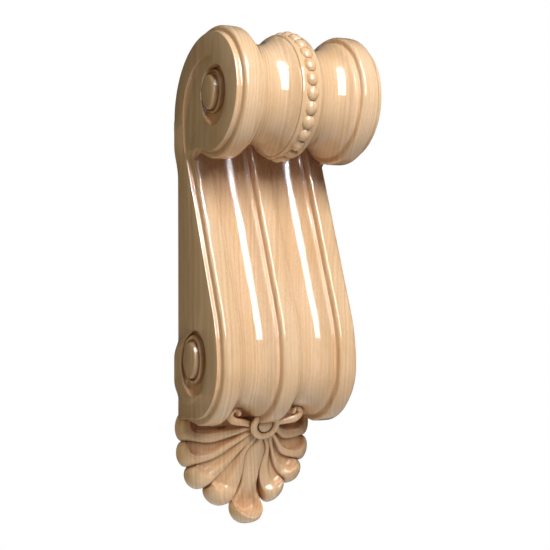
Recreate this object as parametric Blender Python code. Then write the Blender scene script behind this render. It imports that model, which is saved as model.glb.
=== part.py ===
"""Carved wooden corbel bracket: a scroll bracket with a palmette leaf hanging below it.

The bracket hangs on a wall. X runs across it, -Y is its front and +Z is up. The origin is on its flat
back, MOUNT_HEIGHT above the leaf's tip. Sizes are written in millimetres, heights are measured from the
leaf's tip, and solid() turns them into metres about the origin.
"""
import bpy
import bmesh
from math import cos, exp, hypot, pi, radians, sin, sqrt, tan
from mathutils import Matrix, Vector

MM = 0.001
MOUNT_HEIGHT = 190.0

# The roll: a spool lying across the top. Its radii are those of its side discs and fillets.
ROLL_Y, ROLL_Z = -59.5, 332.0
ROLL_RADIUS = 44.3
ROLL_RIM = 4.7
CROWN_Z, CROWN_RADIUS = 316.8, 59.5
FACE_HALF = 62.0

# Behind the roll: the filling's outline, and the cheeks that carry the side rims' outer edges into the
# roll's disc: (height, half width at the front, front, half width at the side edge).
CROTCH = ((-34.0, 312.5), (2.5, 312.5), (-0.5, 315.0), (-8.0, 325.0), (-34.0, 325.0))
CROTCH_HALF = 58.5
CHEEK_IN, CHEEK_ROUND, CHEEK_SUNK = 54.5, 1.2, 0.4
CHEEK = ((272.0, 56.8, -26.0, 57.2), (284.0, 57.5, -25.2, 60.2), (286.5, 58.4, -25.8, 61.0),
         (288.5, 59.6, -28.6, 61.5), (290.0, 60.7, -33.5, 61.8), (291.6, 61.96, -44.0, 61.96),
         (303.0, 61.96, -44.0, 61.96), (318.0, 61.96, -40.0, 61.96))

# The body: the outline of its side edges, from the neck down to the lower scroll.
NECK_Y = -14.8
NECK_TOP = 316.5
NECK_ARC = 90.0
SLOPE = radians(20.6)
BELLY_ARC = 121.0
SCROLL_Y, SCROLL_Z, SCROLL_RADIUS = -30.5, 127.4, 40.0
BODY_RIM, SCROLL_RIM = 5.6, 5.0
EDGE_HALF = 60.7
WALL_HALF = 58.2

# Cross-sections: half widths where the rims, the fillets beside them and the coves begin and end.
MID_RIM = 7.1
MID_FILLET = 10.4
COVE_END = 39.6
SIDE_RIM_IN, SIDE_RIM_OUT = 42.7, 57.2
COVE_DEPTH = 7.3
BEAD_BAND, BEAD_BAND_RISE = 8.3, 2.1
COVE_LIP = 1.0

# Beads round the roll's middle: half width, half length and rise of one, and how deep its centre sits.
BEAD_HALF, BEAD_LONG, BEAD_RISE, BEAD_SUNK = 5.3, 5.8, 4.2, 0.9
BEAD_PITCH, BEAD_FIRST, BEAD_COUNT = 13.6, -125.8, 16
CROWN_PITCH, CROWN_FIRST, CROWN_BEADS = 10.4, 91.5, 6

# Eyes of the two scrolls, on both sides: (y, z, half width, half height) of the recess, of the ridge inside
# it, of the trough inside the ridge and of the button. They touch one another at the back.
UPPER_EYE = ((-66.5, 328.8, 20.0, 22.3), (-59.3, 332.6, 12.8, 16.2), (-58.5, 332.4, 12.0, 14.8),
             (-57.0, 332.0, 10.3, 13.5))
LOWER_EYE = ((-31.6, 129.8, 20.5, 25.4), (-26.9, 132.8, 13.4, 18.6), (-25.8, 132.3, 12.0, 15.6),
             (-25.4, 132.0, 10.9, 14.4))
EYE_ROOT_X, FLOOR_X, RIDGE_X, TROUGH_X, BUTTON_X = 50.0, 54.8, 58.6, 57.6, 62.2
FLOOR_LIFT, RIDGE_LIFT = 0.45, 0.7
BOSS_ROOT_X, BOSS_Y, BOSS_Z, BOSS_RADIUS, BOSS_TOP = 40.0, -20.0, 124.5, 31.0, 21.5
GROOVE_Y, GROOVE_Z, GROOVE_RADIUS, GROOVE_WIDTH, GROOVE_DEPTH = -57.5, 318.0, 42.4, 14.0, 1.9
GROOVE_EASE, GROOVE_OVER = 0.6, 0.4

# The leaf: lobes fan out from a small ring under the lower scroll.
LEAF_Z = 81.0
RING_Y, RING_RADIUS, RING_WIRE, RING_TILT = -34.0, 9.7, 2.9, radians(24)
LEAF_TOP, LEAF_FALL, LEAF_REACH = 7.0, 22.0, 30.0
LEAF_SQUEEZE, LEAF_ROOT = 4.2, (38.0, -16.0, 2.0, 80.0, 98.0)
LOBE_ROOTS = (13.0, 32.0, 48.5, 66.5, 99.0)
LOBE_EDGES = (13.0, 36.5, 57.0, 77.0, 99.0)
NOTCH_RADII = (63.5, 62.0, 61.5, 58.0, 57.0)
LOBE_RADII = (70.0, 69.0, 65.0, 61.5)
TONGUE_RADIUS = 81.0
TONGUE_STEM, TONGUE_BOWL = 2.6, -6.6
LIP_RISE, LIP_PLACE, LIP_INSIDE, LIP_OUTSIDE = 18.5, 0.915, 0.040, 0.11
ROUND_FROM = 0.84
STEP_ANGLE = 0.8
EDGE_PAST_WALL = 0.8
# For lobes 1 to 4: share of the width that the band takes near the ring and at the hollow's end, the radius
# at which the hollow ends and that of its corner, the heights of its floor, of the band and of the end, and
# the widths of the wall down to the floor along the side and at the end.
LOBES = {1: (0.38, 0.50, 58.0, 6.0, -2.2, 1.5, 4.6, 5.5, 4.0),
         2: (0.24, 0.46, 57.0, 6.0, -2.4, 1.6, 4.8, 5.5, 4.0),
         3: (0.46, 0.42, 57.3, 6.5, -3.2, 2.4, 3.2, 2.4, 2.6),
         4: (0.40, 0.37, 53.5, 7.5, -3.4, 2.8, 3.2, 2.6, 3.0)}
LEAF_ROWS = (0.0, 0.14, 0.28, 0.44, 0.6, 0.72, 0.79, 0.84, 0.88, 0.915, 0.965, 1.0)
LOBE_SHARES = (0.0, 0.15, 0.36, 0.48, 0.62, 0.84, 1.0)
CURL = ((6.0, -26.5, 80.0, 2.0), (11.5, -28.0, 81.8, 2.5), (17.6, -29.6, 83.4, 2.9),
        (23.2, -31.2, 84.4, 3.2), (28.2, -32.6, 86.6, 3.4), (29.7, -34.2, 90.2, 3.6),
        (27.3, -35.4, 92.4, 3.4), (25.3, -36.0, 92.2, 2.4))

BACK = 4.0
WALL_CUT = (90.0, 0.0, 60.0, -20.0, 400.0)
WELD = 0.000003
FLAT = 0.002
WOOD = (0.80, 0.60, 0.38, 1.0)


def clear():
    for thing in list(bpy.data.objects):
        bpy.data.objects.remove(thing, do_unlink=True)


def smooth(edge0, edge1, value):
    """0 before edge0, 1 after edge1 and an even curve between them."""
    t = min(max((value - edge0) / (edge1 - edge0), 0.0), 1.0)
    return t * t * (3.0 - 2.0 * t)


def wood():
    material = bpy.data.materials.new("maple")
    material.use_nodes = True
    shader = material.node_tree.nodes["Principled BSDF"]
    shader.inputs["Base Color"].default_value = WOOD
    shader.inputs["Roughness"].default_value = 0.3
    shader.inputs["Metallic"].default_value = 0.0
    return material


def solid(name, points, faces):
    """One closed mesh from millimetre points, with its faces turned outwards."""
    mesh = bpy.data.meshes.new(name)
    mesh.from_pydata([(x * MM, y * MM, (z - MOUNT_HEIGHT) * MM) for x, y, z in points], [], faces)
    shape = bmesh.new()
    shape.from_mesh(mesh)
    bmesh.ops.remove_doubles(shape, verts=shape.verts, dist=0.00001)
    bmesh.ops.dissolve_degenerate(shape, edges=shape.edges, dist=0.000001)
    bmesh.ops.recalc_face_normals(shape, faces=shape.faces)
    bmesh.ops.triangulate(shape, faces=shape.faces)
    shape.to_mesh(mesh)
    shape.free()
    thing = bpy.data.objects.new(name, mesh)
    bpy.context.scene.collection.objects.link(thing)
    return thing


def loft(name, loops, closed=False, on_axis=False):
    """Joins loops of equal length; open ones get a flat cap at each end.

    Loops whose two ends lie on the axis that they turn about are joined without a face between the ends.
    """
    count = len(loops[0])
    points = [point for loop in loops for point in loop]
    faces = []
    for row in range(len(loops) if closed else len(loops) - 1):
        start, after = row * count, (row + 1) % len(loops) * count
        for column in range(count - 1 if on_axis else count):
            beside = (column + 1) % count
            faces.append((start + column, start + beside, after + beside, after + column))
    if not closed:
        faces.append(tuple(range(count)))
        faces.append(tuple(range((len(loops) - 1) * count, len(loops) * count)))
    return solid(name, points, faces)


def turned(name, profile, centre, side, steps=40, squash=1.0, lift=0.0):
    """A solid turned about an X line through centre: profile holds (x, radius), both ends on the axis.

    With lift, all that lies towards the wall rises out of the bracket's side by so much, on an even curve.
    """
    widest = squash * max(r for x, r in profile)
    loops = []
    for step in range(steps):
        across, up = squash * cos(2 * pi * step / steps), sin(2 * pi * step / steps)
        loop = []
        for x, r in profile:
            raised = x + lift * smooth(-0.3 * widest, 0.95 * widest, -r * across)
            loop.append((side * raised, centre[0] - r * across, centre[1] + r * up))
        loops.append(loop)
    return loft(name, loops, closed=True, on_axis=True)


def arc_points(y, z, radius, start, end, steps):
    """Points and front normals along an arc: angle 0 faces the front and a quarter turn faces up."""
    for step in range(steps + 1):
        angle = start + (end - start) * step / steps
        yield y - radius * cos(angle), z + radius * sin(angle), -cos(angle), sin(angle)


def body_path():
    """The side edge's outline with its normals and the rims' height, from the neck to the leaf."""
    belly_y = SCROLL_Y - SCROLL_RADIUS + BELLY_ARC
    top_y, top_z = belly_y - BELLY_ARC * cos(SLOPE), SCROLL_Z + BELLY_ARC * sin(SLOPE)
    bend_y = NECK_Y - NECK_ARC * (1 - cos(SLOPE))
    bend_z = top_z + (bend_y - top_y) / tan(SLOPE)
    neck_z = bend_z + NECK_ARC * sin(SLOPE)
    path = [(NECK_Y, NECK_TOP, -1.0, 0.0)]
    for y, z, ny, nz in arc_points(NECK_Y - NECK_ARC, neck_z, -NECK_ARC, 0.0, SLOPE, 3):
        path.append((y, z, ny, nz))
    path.append(((bend_y + top_y) / 2, (bend_z + top_z) / 2, -cos(SLOPE), sin(SLOPE)))
    path.extend(arc_points(belly_y, SCROLL_Z, BELLY_ARC, SLOPE, radians(5), 3))
    path.extend(arc_points(SCROLL_Y, SCROLL_Z, SCROLL_RADIUS, 0.0, radians(-90), 9))
    path.append((-12.0, SCROLL_Z - SCROLL_RADIUS - 1.5, 0.0, -1.0))
    return path


def cove(start, end, depth, steps=5):
    """Points across a cove: (x, height) without its two ends."""
    half, middle = (end - start) / 2, (start + end) / 2
    radius = (half * half + depth * depth) / (2 * depth)
    for step in range(1, steps):
        offset = half * (2 * step / steps - 1)
        yield middle + offset, radius - depth - sqrt(radius * radius - offset * offset)


def mirrored(half):
    """A cross-section from its right half, from left to right; the half starts on the middle."""
    return [(-point[0],) + point[1:] for point in reversed(half[1:])] + half


def body_section():
    """(x, share of the rims' height, own height) across the body."""
    half = [(0.0, 1.0, 0.0), (MID_RIM - 1.3, 1.0, 0.0), (MID_RIM - 0.2, 0.85, 0.0)]
    half.append((MID_RIM + 0.6, 0.05, 0.0))
    half.append((MID_FILLET, 0.0, 0.0))
    half.extend((x, 0.0, height) for x, height in cove(MID_FILLET, COVE_END, COVE_DEPTH))
    half.append((COVE_END, 0.0, 0.0))
    half.append((SIDE_RIM_IN - 0.5, 0.05, 0.0))
    half.append((SIDE_RIM_IN + 0.3, 0.85, 0.0))
    half.append((SIDE_RIM_IN + 1.4, 1.0, 0.0))
    half.append((SIDE_RIM_OUT - 1.3, 1.0, 0.0))
    half.append((SIDE_RIM_OUT - 0.3, 0.85, 0.0))
    half.append((SIDE_RIM_OUT + 0.5, 0.05, 0.0))
    half.append((EDGE_HALF, 0.0, 0.0))
    return mirrored(half)


def roll_section():
    """(x, height) across the roll, from its side discs' radius."""
    half = [(0.0, BEAD_BAND_RISE), (BEAD_BAND, BEAD_BAND_RISE), (BEAD_BAND + 0.5, COVE_LIP)]
    half.extend((x, height + COVE_LIP * (COVE_END - x) / (COVE_END - BEAD_BAND))
                for x, height in cove(BEAD_BAND + 0.5, COVE_END - 1.0, COVE_DEPTH))
    half.append((COVE_END - 1.0, 0.0))
    half.append((SIDE_RIM_IN - 0.2, 0.0))
    half.append((SIDE_RIM_IN + 0.1, ROLL_RIM - 0.7))
    half.append((SIDE_RIM_IN + 0.9, ROLL_RIM))
    half.append((SIDE_RIM_OUT - 1.1, ROLL_RIM))
    half.append((SIDE_RIM_OUT - 0.3, ROLL_RIM - 0.7))
    half.append((SIDE_RIM_OUT, 0.0))
    half.append((FACE_HALF, 0.0))
    return mirrored(half)


def body():
    """The shaft: the cross-section swept down the front outline and closed at the wall."""
    loops = []
    path = body_path()
    for index, (y, z, ny, nz) in enumerate(path):
        rim = BODY_RIM + (SCROLL_RIM - BODY_RIM) * smooth(SCROLL_Z, SCROLL_Z - SCROLL_RADIUS, z)
        flat = index == len(path) - 1
        spread = smooth(272.0, 297.0, z) * (FACE_HALF - 0.1 - WALL_HALF)
        wide = max(EDGE_HALF, WALL_HALF + spread)
        loop = [(-WALL_HALF - spread, BACK, z)]
        for x, share, height in body_section():
            rise = 0.0 if flat else share * rim + height
            across = x if abs(x) < EDGE_HALF - 1.0 else x * wide / EDGE_HALF
            loop.append((across, y + ny * rise, z + nz * rise))
        loop.append((WALL_HALF + spread, BACK, z))
        loops.append(loop)
    return loft("body", loops)


def roll():
    """The spool and the crown that carries it back to the wall, closed around the spool's axis."""
    path = [point + (1.0,)
            for point in arc_points(ROLL_Y, ROLL_Z, ROLL_RADIUS, radians(-158), radians(90), 18)]
    for step in range(1, 7):
        angle = pi / 2 + pi / 2 * step / 6
        y, z, ny, nz = next(arc_points(ROLL_Y, CROWN_Z, CROWN_RADIUS, angle, angle, 1))
        path.append((y, z, ny, nz, 1 - smooth(radians(98), radians(166), angle)))
    path.append((BACK - 1.0, 307.0, 0.0, 0.0, 0.0))
    loops = []
    for y, z, ny, nz, hollow in path:
        loop = [(-FACE_HALF, ROLL_Y, ROLL_Z)]
        for x, rise in roll_section():
            height = rise if rise > 0 or abs(x) > COVE_END else rise * hollow
            loop.append((x, y + ny * height, z + nz * height))
        loop.append((FACE_HALF, ROLL_Y, ROLL_Z))
        loops.append(loop)
    return loft("roll", loops, closed=True, on_axis=True)


def prism(name, half, outline):
    """A plain solid across the bracket from its (y, z) outline."""
    return loft(name, [[(x, y, z) for y, z in outline] for x in (-half, half)])


def block(name, half, y0, y1, z0, z1):
    """A plain box, centred across the bracket."""
    return prism(name, half, ((y0, z0), (y1, z0), (y1, z1), (y0, z1)))


def edge_depth(height):
    """Where the body's side edge lies at a height on the neck."""
    path = body_path()
    for (y0, z0, *_), (y1, z1, *_) in zip(path, path[1:]):
        if z1 <= height <= z0:
            return y0 + (y1 - y0) * (z0 - height) / (z0 - z1)
    return NECK_Y


def cheek(side):
    """The outer edge of the side rim's upper end, which widens and swings forwards under the roll's disc."""
    loops = []
    for z, wide, front, edge in CHEEK:
        back = edge_depth(z) + CHEEK_SUNK
        loop = [(CHEEK_IN, back + 3.0), (CHEEK_IN, front), (wide - CHEEK_ROUND, front)]
        loop += [(wide, front + CHEEK_ROUND), (edge, back), (edge - 6.0, back + 3.0)]
        loops.append([(side * x, y, z) for x, y in loop])
    return loft("cheek", loops)


def beads(first):
    """Every second bead round the roll and over its crown, as one mesh of balls that don't touch."""
    shape = bmesh.new()
    spots = [(ROLL_Z, ROLL_RADIUS, BEAD_FIRST + index * BEAD_PITCH) for index in range(BEAD_COUNT)]
    spots += [(CROWN_Z, CROWN_RADIUS, CROWN_FIRST + index * CROWN_PITCH) for index in range(CROWN_BEADS)]
    for centre, radius, angle in spots[first::2]:
        reach = radius + BEAD_SUNK
        y = ROLL_Y - reach * cos(radians(angle))
        z = centre + reach * sin(radians(angle)) - MOUNT_HEIGHT
        place = Matrix.Translation((0.0, y * MM, z * MM)) @ Matrix.Rotation(-radians(angle), 4, 'X')
        size = Matrix.Diagonal((BEAD_HALF * MM, BEAD_RISE * MM, BEAD_LONG * MM, 1.0))
        bmesh.ops.create_uvsphere(shape, u_segments=8, v_segments=5, radius=1.0,
                                  matrix=place @ size @ Matrix.Rotation(pi / 2, 4, 'X'))
    mesh = bpy.data.meshes.new("beads")
    shape.to_mesh(mesh)
    shape.free()
    thing = bpy.data.objects.new("beads", mesh)
    bpy.context.scene.collection.objects.link(thing)
    return thing


def boss(side):
    """The low swelling that carries the lower eye out to the roll's face."""
    rise = FACE_HALF - 0.1
    profile = [(BOSS_ROOT_X, 0.0), (BOSS_ROOT_X, BOSS_RADIUS), (WALL_HALF, BOSS_RADIUS)]
    profile += [(WALL_HALF + 1.2, BOSS_RADIUS - 2.5), (rise - 0.8, BOSS_TOP + 3.0), (rise, BOSS_TOP)]
    profile.append((rise, 0.0))
    return turned("boss", profile, (BOSS_Y, BOSS_Z), side, 26)


def groove(side):
    """The valley that parts the roll's disc from the band round it: steep outside, gentle inside."""
    path = [(y - 0.3, z, -ny, -nz, smooth(283.0, 294.0, z)) for y, z, ny, nz in reversed(body_path()[1:5])]
    steps = 12
    for step in range(steps + 1):
        angle = pi - radians(118) * step / steps
        radius = GROOVE_RADIUS - 2.0 * smooth(radians(115), radians(68), angle)
        y, z, ny, nz = next(arc_points(GROOVE_Y, GROOVE_Z, radius, angle, angle, 1))
        path.append((y, z, ny, nz, 1 - smooth(radians(112), radians(66), angle)))
    loops = []
    for y, z, ny, nz, fade in path:
        depth = (GROOVE_DEPTH - GROOVE_EASE * smooth(330.0, 312.0, z) + GROOVE_OVER) * fade - GROOVE_OVER
        loop = [(FACE_HALF + 1.0, -0.5), (FACE_HALF - depth, 1.0)]
        loop += [(FACE_HALF - 0.5 * depth, 1.2 + 0.4 * GROOVE_WIDTH), (FACE_HALF + 0.05, 1.2 + GROOVE_WIDTH)]
        loop.append((FACE_HALF + 1.0, 3.0 + GROOVE_WIDTH))
        loops.append([(side * x, y - ny * inward, z - nz * inward) for x, inward in loop])
    return loft("groove", loops)


def eye(side, rings):
    """The solids that shape one eye, in order: (solid, operation)."""
    recess, ridge, trough, button = rings
    above = FACE_HALF + 2.0
    cut = [(FLOOR_X, 0.0), (FLOOR_X, recess[3] - 0.8), (above, recess[3] + 0.3), (above, 0.0)]
    band = [(EYE_ROOT_X, 0.0), (EYE_ROOT_X, ridge[3]), (RIDGE_X - 0.8, ridge[3])]
    band += [(RIDGE_X, ridge[3] - 0.8), (RIDGE_X, 0.0)]
    ring = [(TROUGH_X, 0.0), (TROUGH_X, trough[3] - 0.8), (RIDGE_X - 0.3, trough[3])]
    ring += [(above, trough[3] + 0.6), (above, 0.0)]
    knob = [(EYE_ROOT_X, 0.0), (EYE_ROOT_X, button[3]), (TROUGH_X + 0.5, button[3])]
    knob += [(BUTTON_X - 0.9, button[3] - 1.0), (BUTTON_X - 0.1, button[3] - 2.0), (BUTTON_X + 0.2, 0.0)]
    deep, over, within = (FACE_HALF - level for level in (FLOOR_X, RIDGE_X, TROUGH_X))
    squash = [size[2] / size[3] for size in rings]
    return ((turned("recess", cut, recess, side, 24, squash[0], FLOOR_LIFT * deep), 'DIFFERENCE'),
            (turned("ridge", band, ridge, side, 22, squash[1], RIDGE_LIFT * over), 'UNION'),
            (turned("trough", ring, trough, side, 20, squash[2], RIDGE_LIFT * within), 'DIFFERENCE'),
            (turned("button", knob, button, side, 18, squash[3]), 'UNION'))


def leaf_base(radius):
    """Depth of the leaf's ground from the wall at a distance from its ring."""
    return LEAF_TOP + LEAF_FALL * exp(-(radius / LEAF_REACH) ** 2)


def leaf_columns():
    """(lobe, share across it, reach) round the right half, from the middle outwards."""
    columns = []
    for step in range(6):
        share = step / 5
        fall = sqrt(1 - share * share)
        columns.append((0, share, NOTCH_RADII[0] + (TONGUE_RADIUS - NOTCH_RADII[0]) * fall))
    for lobe in range(1, 5):
        notch, after = NOTCH_RADII[lobe - 1], NOTCH_RADII[lobe]
        bulge = LOBE_RADII[lobe - 1] - (notch + after) / 2
        for share in LOBE_SHARES:
            reach = notch + (after - notch) * share + bulge * (1 - (2 * share - 1) ** 2) ** 0.6
            columns.append((lobe, share, reach))
    return columns


def edge_angle(edge, t):
    """Angle of the line between two lobes, from ring to rim; the tongue's own line is a soft S."""
    angle = LOBE_ROOTS[edge] + (LOBE_EDGES[edge] - LOBE_ROOTS[edge]) * smooth(0.5, 1.0, t)
    if edge == 0:
        angle += 8.0 * exp(-((t - 0.25) / 0.15) ** 2) - 3.0 * exp(-((t - 0.66) / 0.2) ** 2)
    return angle


def lobe_angle(lobe, share, t):
    if lobe == 0:
        return share * edge_angle(0, t)
    start = edge_angle(lobe - 1, t) + STEP_ANGLE
    return start + share * (edge_angle(lobe, t) - start)


def tongue_relief(share, t):
    """The tongue over the leaf's ground: a rounded stem that opens into a bowl with a lip rolled forwards."""
    stem = TONGUE_STEM * (1 - share ** 2) - 1.0
    bowl = TONGUE_BOWL + 2.8 * smooth(0.45, 0.80, share) - 3.0 * smooth(0.82, 1.0, share)
    lip = LIP_RISE * exp(-((t - LIP_PLACE) / (LIP_INSIDE if t < LIP_PLACE else LIP_OUTSIDE)) ** 2)
    end = smooth(0.52, 0.80, t)
    return stem * (1 - end) + bowl * end + lip * (1 - share ** 2) ** 1.1


def lobe_relief(lobe, share, t, radius, reach):
    """A side lobe over the leaf's ground: a band along its lower side loops round the end of a hollow."""
    band_root, band_end, end, corner_radius, floor, band, ball, wall_side, wall_end = LOBES[lobe]
    width = radius * radians(edge_angle(lobe, t) - edge_angle(lobe - 1, t))
    across = share * width
    crest = (band_root + (band_end - band_root) * smooth(25.0, end, radius)) * width
    far = max(radius - (end - corner_radius), 0.0)
    near = max(corner_radius - (across - crest), 0.0)
    inside = corner_radius - hypot(far, near)
    tip = smooth(end - corner_radius, end, radius)
    hollow = smooth(0.0, wall_side + (wall_end - wall_side) * tip, inside)
    past = max(-inside, 0.0)
    upper = width - across + 60.0 * smooth(end, end - 5.0, radius)
    rim = 1.5 * max(reach - radius, 0.0)
    out = sum(max(gap, 0.01) ** -3 for gap in (across, upper, rim)) ** (-1 / 3)
    place = past / (past + out + 0.001)
    edge = 0.88 - 0.38 * tip * (lobe < 3)
    peak = 0.14 + 0.16 * tip * (lobe < 3)
    if place < peak:
        rise = edge + (1 - edge) * sqrt(1 - (place / peak - 1) ** 2)
    else:
        rise = sqrt(max(1 - ((place - peak) / (1 - peak)) ** 2, 0.0))
    foot = -0.6 + 0.5 * (1 - tip)
    height = foot + (band + (ball - band) * tip - foot) * rise
    grow = 0.45 + 0.55 * smooth(0.0, 0.4, t)
    depth = floor * smooth(0.08, 0.3, t)
    return (height * (1 - hollow) + depth * hollow) * grow


def squeezed(across):
    """The leaf's right half is a little narrower than its left, as the carver left it."""
    return across - LEAF_SQUEEZE * smooth(10.0, 38.0, across)


def leaf():
    """The palmette: a polar grid from the ring outwards whose outer edge drops to the wall."""
    start = RING_RADIUS - 3.0
    half = leaf_columns()
    columns = [(-1,) + column for column in reversed(half[1:])] + [(1,) + column for column in half]
    points = []
    for side, lobe, share, reach in columns:
        for t in LEAF_ROWS:
            radius = start + (reach - start) * t
            turn = side * radians(lobe_angle(lobe, share, t))
            relief = lobe_relief(lobe, share, t, radius, reach) if lobe else tongue_relief(share, t)
            depth = leaf_base(radius) + relief
            near_end = max((t - ROUND_FROM) / (1 - ROUND_FROM), 0.0)
            depth *= sqrt(max(1 - near_end ** (2 if lobe else 4), 0.0))
            depth -= EDGE_PAST_WALL * smooth(0.965, 1.0, t)
            across = squeezed(radius * sin(turn))
            points.append((across, -depth, LEAF_Z - radius * cos(turn)))
        points.append((across, BACK, LEAF_Z - radius * cos(turn)))
    count = len(LEAF_ROWS) + 1
    faces = []
    for column in range(len(columns) - 1):
        for row in range(count - 1):
            first = column * count + row
            faces.append((first, first + 1, first + count + 1, first + count))
    back = len(points)
    points.append((0.0, BACK, LEAF_Z))
    front = len(points)
    points.append((0.0, -leaf_base(0.0), LEAF_Z))
    for column in range(len(columns) - 1):
        faces.append((column * count + count - 1, back, (column + 1) * count + count - 1))
        faces.append((column * count, (column + 1) * count, front))
    last = (len(columns) - 1) * count
    faces.append((front,) + tuple(range(count)) + (back,))
    faces.append((front,) + tuple(range(last, last + count)) + (back,))
    return solid("leaf", points, faces)


def curl(side):
    """The small lobe that curls up under the cove beside the ring: a tube along a path."""
    loops = []
    turns = [step * pi / 4 for step in range(8)]
    for index, (x, y, z, radius) in enumerate(CURL):
        ahead = Vector(CURL[min(index + 1, len(CURL) - 1)][:3]) - Vector(CURL[max(index - 1, 0)][:3])
        out = ahead.cross(Vector((0.0, 1.0, 0.0))).normalized()
        front = ahead.cross(out).normalized()
        spots = [Vector((x, y, z)) + radius * (cos(turn) * out + sin(turn) * front) for turn in turns]
        loops.append([(side * spot.x, spot.y, spot.z) for spot in spots])
    return loft("curl", loops)


def rosette():
    """The ring and its button at the leaf's root, tipped to face a little down."""
    def place(x, out, up):
        y = RING_Y - out * cos(RING_TILT) - up * sin(RING_TILT)
        return x, y, LEAF_Z - out * sin(RING_TILT) + up * cos(RING_TILT)

    turns = [step * pi / 3 for step in range(6)]
    section = [(RING_RADIUS + RING_WIRE * cos(turn), 0.75 * RING_WIRE * sin(turn)) for turn in turns]
    ring = []
    dome = []
    for step in range(20):
        angle = 2 * pi * step / 20
        ring.append([place(r * cos(angle), out, r * sin(angle)) for r, out in section])
        button = ((0.0, -8.0), (6.0, -8.0), (6.0, 0.3), (4.2, 1.8), (0.0, 2.3))
        dome.append([place(r * cos(angle), out, r * sin(angle)) for r, out in button])
    return loft("ring", ring, closed=True), loft("dome", dome, closed=True, on_axis=True)


def tidied(mesh):
    """Welds the slivers that a Boolean step leaves, so that the next step starts from a closed mesh."""
    shape = bmesh.new()
    shape.from_mesh(mesh)
    bmesh.ops.triangulate(shape, faces=shape.faces)
    bmesh.ops.remove_doubles(shape, verts=shape.verts, dist=WELD)
    bmesh.ops.dissolve_degenerate(shape, edges=shape.edges, dist=WELD)
    bmesh.ops.holes_fill(shape, edges=[edge for edge in shape.edges if edge.is_boundary], sides=8)
    bmesh.ops.dissolve_limit(shape, angle_limit=FLAT, verts=shape.verts, edges=shape.edges)
    bmesh.ops.triangulate(shape, faces=shape.faces)
    shape.to_mesh(mesh)
    shape.free()


def combine(base, thing, operation):
    """Joins a solid to the bracket, or cuts it away, and removes it."""
    step = base.modifiers.new(thing.name, 'BOOLEAN')
    step.operation = operation
    step.solver = 'EXACT'
    step.object = thing
    bpy.context.view_layer.update()
    graph = bpy.context.evaluated_depsgraph_get()
    mesh = bpy.data.meshes.new_from_object(base.evaluated_get(graph))
    base.modifiers.remove(step)
    bpy.data.objects.remove(thing, do_unlink=True)
    tidied(mesh)
    base.data = mesh


def build():
    clear()
    corbel = body()
    corbel.name = "corbel"
    combine(corbel, roll(), 'UNION')
    combine(corbel, prism("crotch", CROTCH_HALF, CROTCH), 'UNION')
    combine(corbel, block("root", *LEAF_ROOT), 'UNION')
    combine(corbel, leaf(), 'UNION')
    for side in (-1, 1):
        combine(corbel, cheek(side), 'UNION')
        combine(corbel, curl(side), 'UNION')
        combine(corbel, boss(side), 'UNION')
        combine(corbel, groove(side), 'DIFFERENCE')
        for rings in (UPPER_EYE, LOWER_EYE):
            for thing, operation in eye(side, rings):
                combine(corbel, thing, operation)
    for thing in rosette():
        combine(corbel, thing, 'UNION')
    combine(corbel, beads(0), 'UNION')
    combine(corbel, beads(1), 'UNION')
    combine(corbel, block("wall", *WALL_CUT), 'DIFFERENCE')
    corbel.data.name = "corbel"
    corbel.data.materials.append(wood())
    corbel.data.shade_smooth()
    corbel.data.set_sharp_from_angle(angle=radians(35))


build()
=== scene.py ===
"""Carved wooden corbel bracket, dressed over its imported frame.

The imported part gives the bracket's place, size and main forms. This script carves the same bracket in fine
mesh, with rounded rims, full beads and rolled leaf lobes, finishes it in clear-lacquered maple and sets a
plain studio. Carving sizes are in millimetres and heights are measured from the leaf's tip; solid() turns
them into metres about the mount.
"""

from math import cos, pi, radians, sin, sqrt, tan

import bmesh
import bpy
import numpy as np
from bpy.props import FloatProperty, FloatVectorProperty, IntProperty, PointerProperty
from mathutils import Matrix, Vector


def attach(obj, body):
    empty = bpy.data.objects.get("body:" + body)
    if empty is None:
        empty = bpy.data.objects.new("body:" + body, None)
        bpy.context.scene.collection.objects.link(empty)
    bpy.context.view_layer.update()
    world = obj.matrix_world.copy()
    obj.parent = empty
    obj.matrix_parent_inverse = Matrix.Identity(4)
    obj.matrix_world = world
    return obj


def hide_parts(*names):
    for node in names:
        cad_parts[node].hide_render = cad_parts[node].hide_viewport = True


bl_info = {
    "name": "Carved Corbel",
    "version": (1, 0, 0),
    "blender": (4, 5, 0),
    "location": "3D View > Sidebar > Corbel",
    "description": "Carves a scroll corbel with a palmette leaf, lacquers it and sets a studio",
    "category": "Add Mesh",
}

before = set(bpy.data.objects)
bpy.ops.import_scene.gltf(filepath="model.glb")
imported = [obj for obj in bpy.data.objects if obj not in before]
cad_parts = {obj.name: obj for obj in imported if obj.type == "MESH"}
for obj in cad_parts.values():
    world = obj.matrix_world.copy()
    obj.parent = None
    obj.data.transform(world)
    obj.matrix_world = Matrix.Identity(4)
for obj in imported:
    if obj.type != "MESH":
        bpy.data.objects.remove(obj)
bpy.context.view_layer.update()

MM = 0.001
MOUNT_HEIGHT = 190.0

# The roll: a spool lying across the top, and the crown that carries it back to the wall, where its coves
# flatten out between the two angles.
ROLL_Y, ROLL_Z = -59.5, 332.0
ROLL_RADIUS = 44.3
ROLL_RIM = 4.7
ROLL_START = radians(-158)
CROWN_Z, CROWN_RADIUS = 316.8, 59.5
CROWN_FLATTENS = radians(98), radians(166)
CROWN_FOOT_Z = 307.0
FACE_HALF = 62.0

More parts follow.
